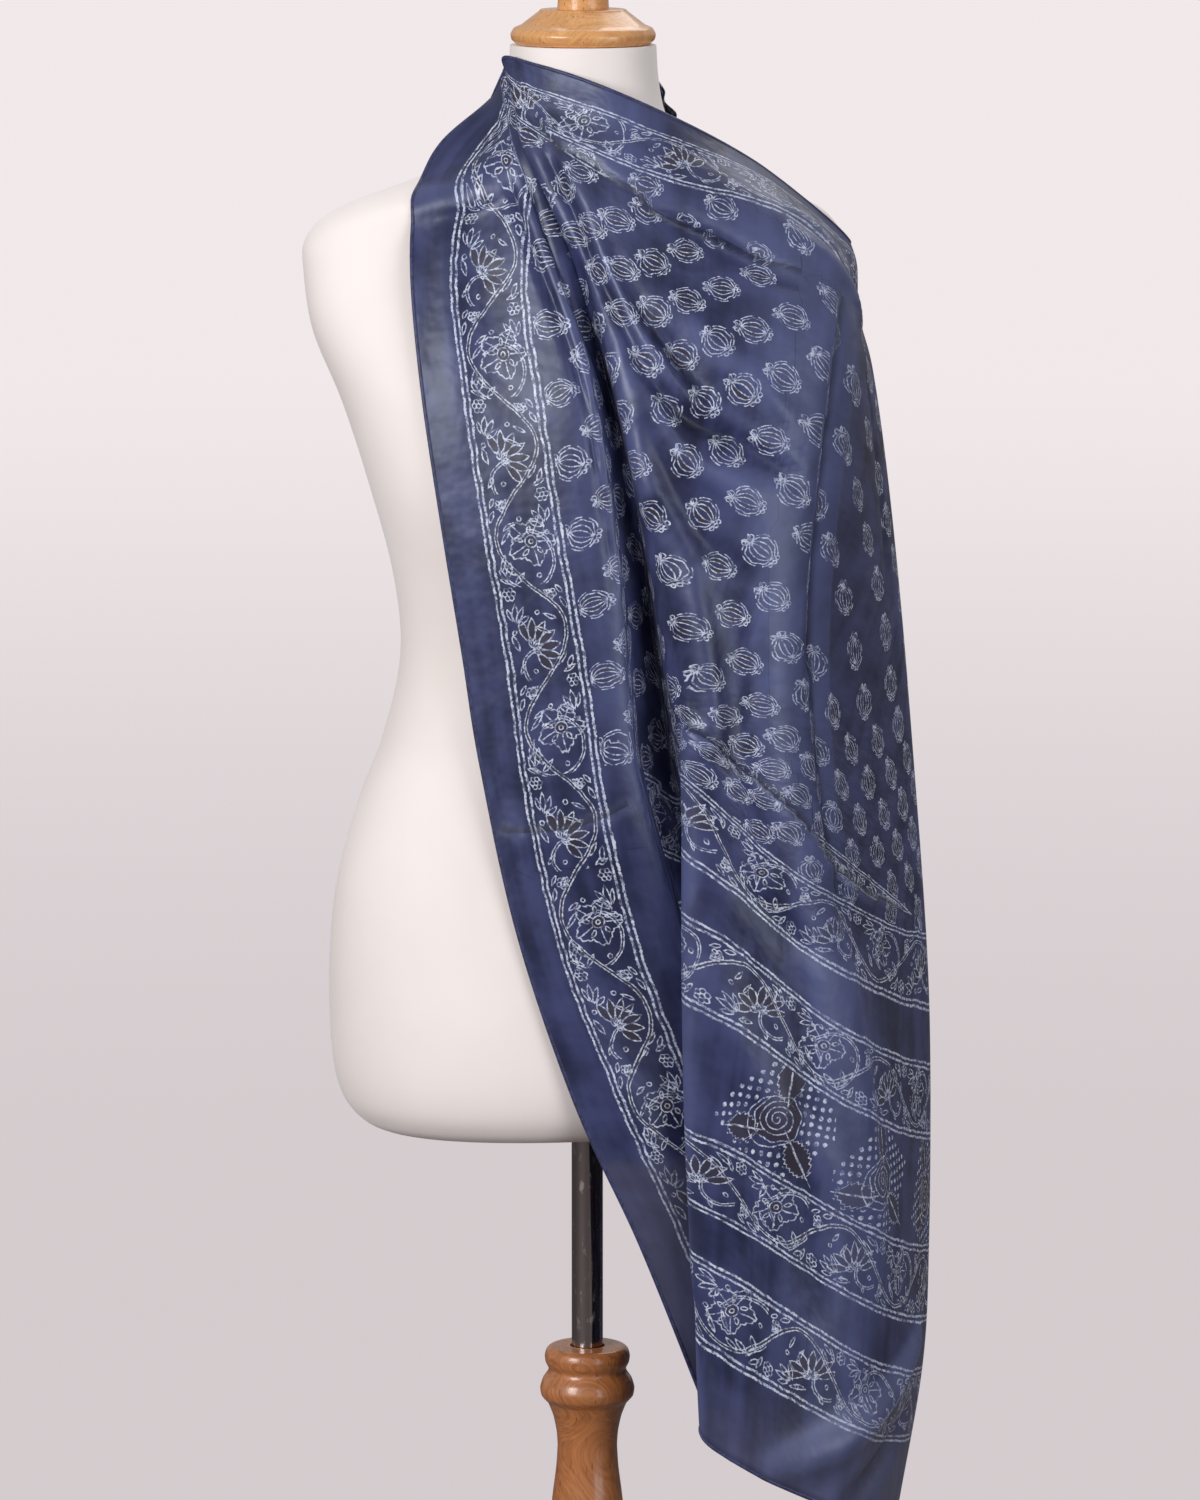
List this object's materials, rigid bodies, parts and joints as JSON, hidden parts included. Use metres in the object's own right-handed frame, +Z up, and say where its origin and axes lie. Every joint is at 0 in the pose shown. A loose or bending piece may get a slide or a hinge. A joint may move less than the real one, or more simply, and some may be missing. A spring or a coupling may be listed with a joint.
{
  "type": "silk stole on dress form",
  "caption": "Long printed silk stole draped from the neck over the shoulder of a limbless dress form on a pole and turned wooden stand.",
  "frame": {"origin": "middle of the flat underside of the stand's base, on the floor", "axes": "+Z up along the pole, -Y towards the viewer that the stole is arranged for, +X to that viewer's right"},
  "size_m": [0.4537, 0.35, 1.6033],
  "materials": {
    "silk": "thin indigo silk with a pale wax-resist print and a soft sheen",
    "form_cover": "matt off-white cotton jersey",
    "pale_wood": "honey-coloured satin varnish",
    "stand_wood": "brown satin varnish",
    "pole_steel": "polished steel tube"
  },
  "bodies": {
    "root": {"stole_left_fall": "silk", "stole_front_fall": "silk", "stole_back_fall": "silk", "stole_nape_roll": "silk", "torso": "form_cover", "neck_cap": "pale_wood", "pole": "pole_steel", "stand_column": "stand_wood", "stand_base": "stand_wood"}
  },
  "joints": []
}
